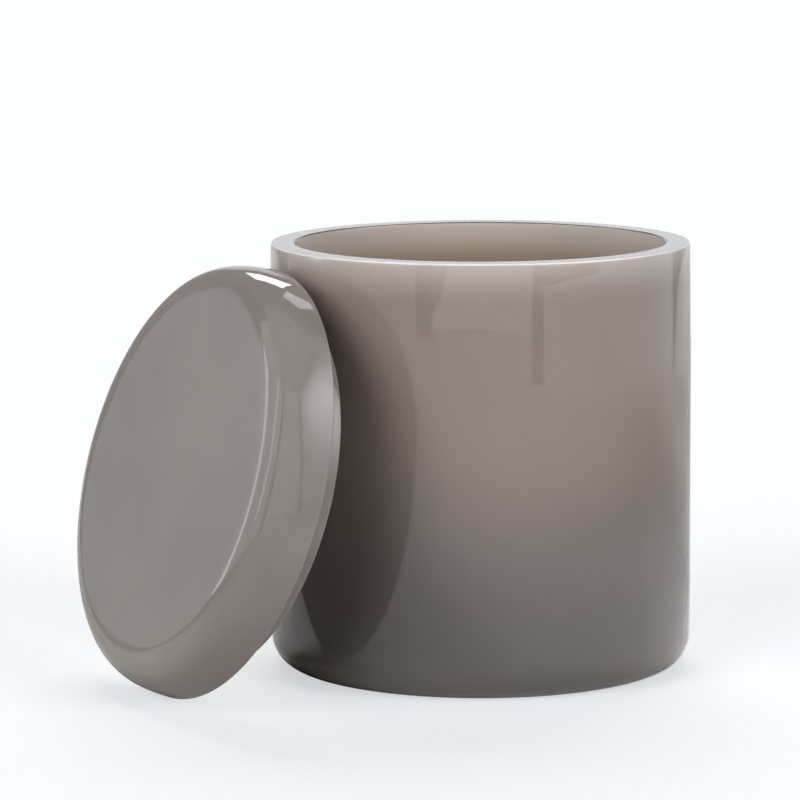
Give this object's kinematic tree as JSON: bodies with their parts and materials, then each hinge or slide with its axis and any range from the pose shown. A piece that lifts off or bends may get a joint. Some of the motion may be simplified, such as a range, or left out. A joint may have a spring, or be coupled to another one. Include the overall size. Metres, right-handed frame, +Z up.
{
  "type": "lidded dappen dish",
  "caption": "Straight-sided round pot with a thick wall, flat rim and rounded base, and a thick round lid with a plug that leans on its side.",
  "frame": {"origin": "centre of the pot's flat base", "axes": "+Z up along the pot's axis; the lid leans on the pot's wall on the -X side, turned 28.7 degrees towards -Y"},
  "size_m": [0.1315, 0.1179, 0.0913],
  "materials": {
    "pot_resin": "polished",
    "lid_resin": "polished"
  },
  "bodies": {
    "pot": {"pot": "pot_resin"},
    "lid": {"lid": "lid_resin"}
  },
  "joints": [
    {"name": "lid_lift", "type": "slide", "parent": "pot", "child": "lid", "axis": [0, 0, 1], "range_m": [0, 0.1]}
  ]
}
